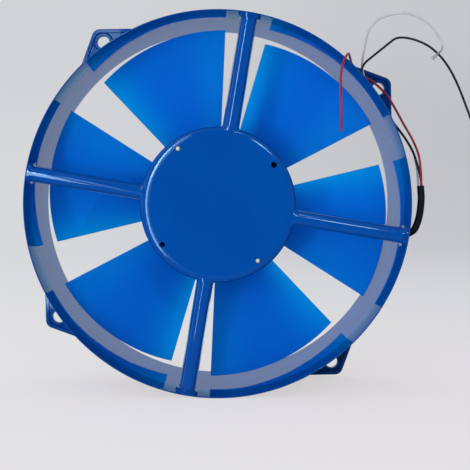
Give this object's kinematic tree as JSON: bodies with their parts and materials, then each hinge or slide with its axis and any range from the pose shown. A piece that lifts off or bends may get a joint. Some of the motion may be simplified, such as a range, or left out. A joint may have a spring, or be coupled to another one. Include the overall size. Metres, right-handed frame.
{
  "type": "axial fan",
  "caption": "Axial duct fan: round ring with mounting ears, armed motor seat, external-rotor motor, bladed impeller and loose connection leads.",
  "frame": {"origin": "on the fan's axis, in the plane of the four mounting ears' rear faces", "axes": "+Y along the axis from the armed front to the eared rear, +Z towards the upper arm, +X towards the arm that carries the leads, to the right as seen from the front"},
  "size_m": [0.2473, 0.0899, 0.2296],
  "materials": {
    "housing_paint": "glossy blue enamel over a rough die-cast aluminium housing",
    "impeller_plastic": "satin blue moulded plastic with a soft broad sheen",
    "rotor_paint": "semi-gloss blue dip paint on pressed steel",
    "cast_aluminium": "bare die-cast aluminium, machined at its seats",
    "lamination_steel": "stacked grey electrical steel sheets",
    "bearing_steel": "ground and polished bearing steel",
    "zinced_steel": "zinc-plated steel with a faint yellow passivation",
    "winding_copper": "enamelled copper winding wire, reddish brown",
    "insulator_resin": "off-white moulded resin",
    "black_sleeving": "black satin insulating sleeve",
    "red_insulation": "red plastic insulation",
    "black_insulation": "black plastic insulation",
    "white_insulation": "white plastic insulation",
    "tinned_copper": "tinned copper strands, twisted"
  },
  "bodies": {
    "housing_and_stator": {"housing": "housing_paint", "stator_carrier": "cast_aluminium", "seat_screw_top": "zinced_steel", "seat_screw_bottom": "zinced_steel", "stator_core": "lamination_steel", "insulator_front": "insulator_resin", "insulator_rear": "insulator_resin", "front_bearing_outer_ring": "bearing_steel", "rear_bearing_outer_ring": "bearing_steel", "wave_washer": "bearing_steel", "coil_1": "winding_copper", "coil_2": "winding_copper", "coil_3": "winding_copper", "coil_4": "winding_copper", "coil_5": "winding_copper", "coil_6": "winding_copper", "coil_7": "winding_copper", "coil_8": "winding_copper", "lead_sleeve": "black_sleeving", "red_lead": "red_insulation", "black_lead": "black_insulation", "white_lead": "white_insulation", "black_lead_end": "tinned_copper", "white_lead_end": "tinned_copper"},
    "rotor": {"shaft": "bearing_steel", "shaft_clip": "bearing_steel", "front_bearing_inner_ring": "bearing_steel", "rear_bearing_inner_ring": "bearing_steel", "rotor_can": "rotor_paint", "rotor_core": "lamination_steel", "impeller": "impeller_plastic", "impeller_screw_1": "zinced_steel", "impeller_screw_2": "zinced_steel", "impeller_screw_3": "zinced_steel", "impeller_screw_4": "zinced_steel"},
    "front_ball_set": {"front_bearing_balls": "bearing_steel"},
    "rear_ball_set": {"rear_bearing_balls": "bearing_steel"}
  },
  "joints": [
    {"name": "rotor_spin", "type": "hinge", "parent": "housing_and_stator", "child": "rotor", "pos_m": [0, -0.037, 0], "axis": [0, 1, 0], "continuous": true},
    {"name": "front_balls_roll", "type": "hinge", "parent": "housing_and_stator", "child": "front_ball_set", "pos_m": [0, -0.07, 0], "axis": [0, 1, 0], "continuous": true},
    {"name": "rear_balls_roll", "type": "hinge", "parent": "housing_and_stator", "child": "rear_ball_set", "pos_m": [0, -0.0275, 0], "axis": [0, 1, 0], "continuous": true}
  ],
  "couplings": [
    {"joint": "front_balls_roll", "follows": "rotor_spin", "ratio": 0.3679},
    {"joint": "rear_balls_roll", "follows": "rotor_spin", "ratio": 0.3679}
  ]
}
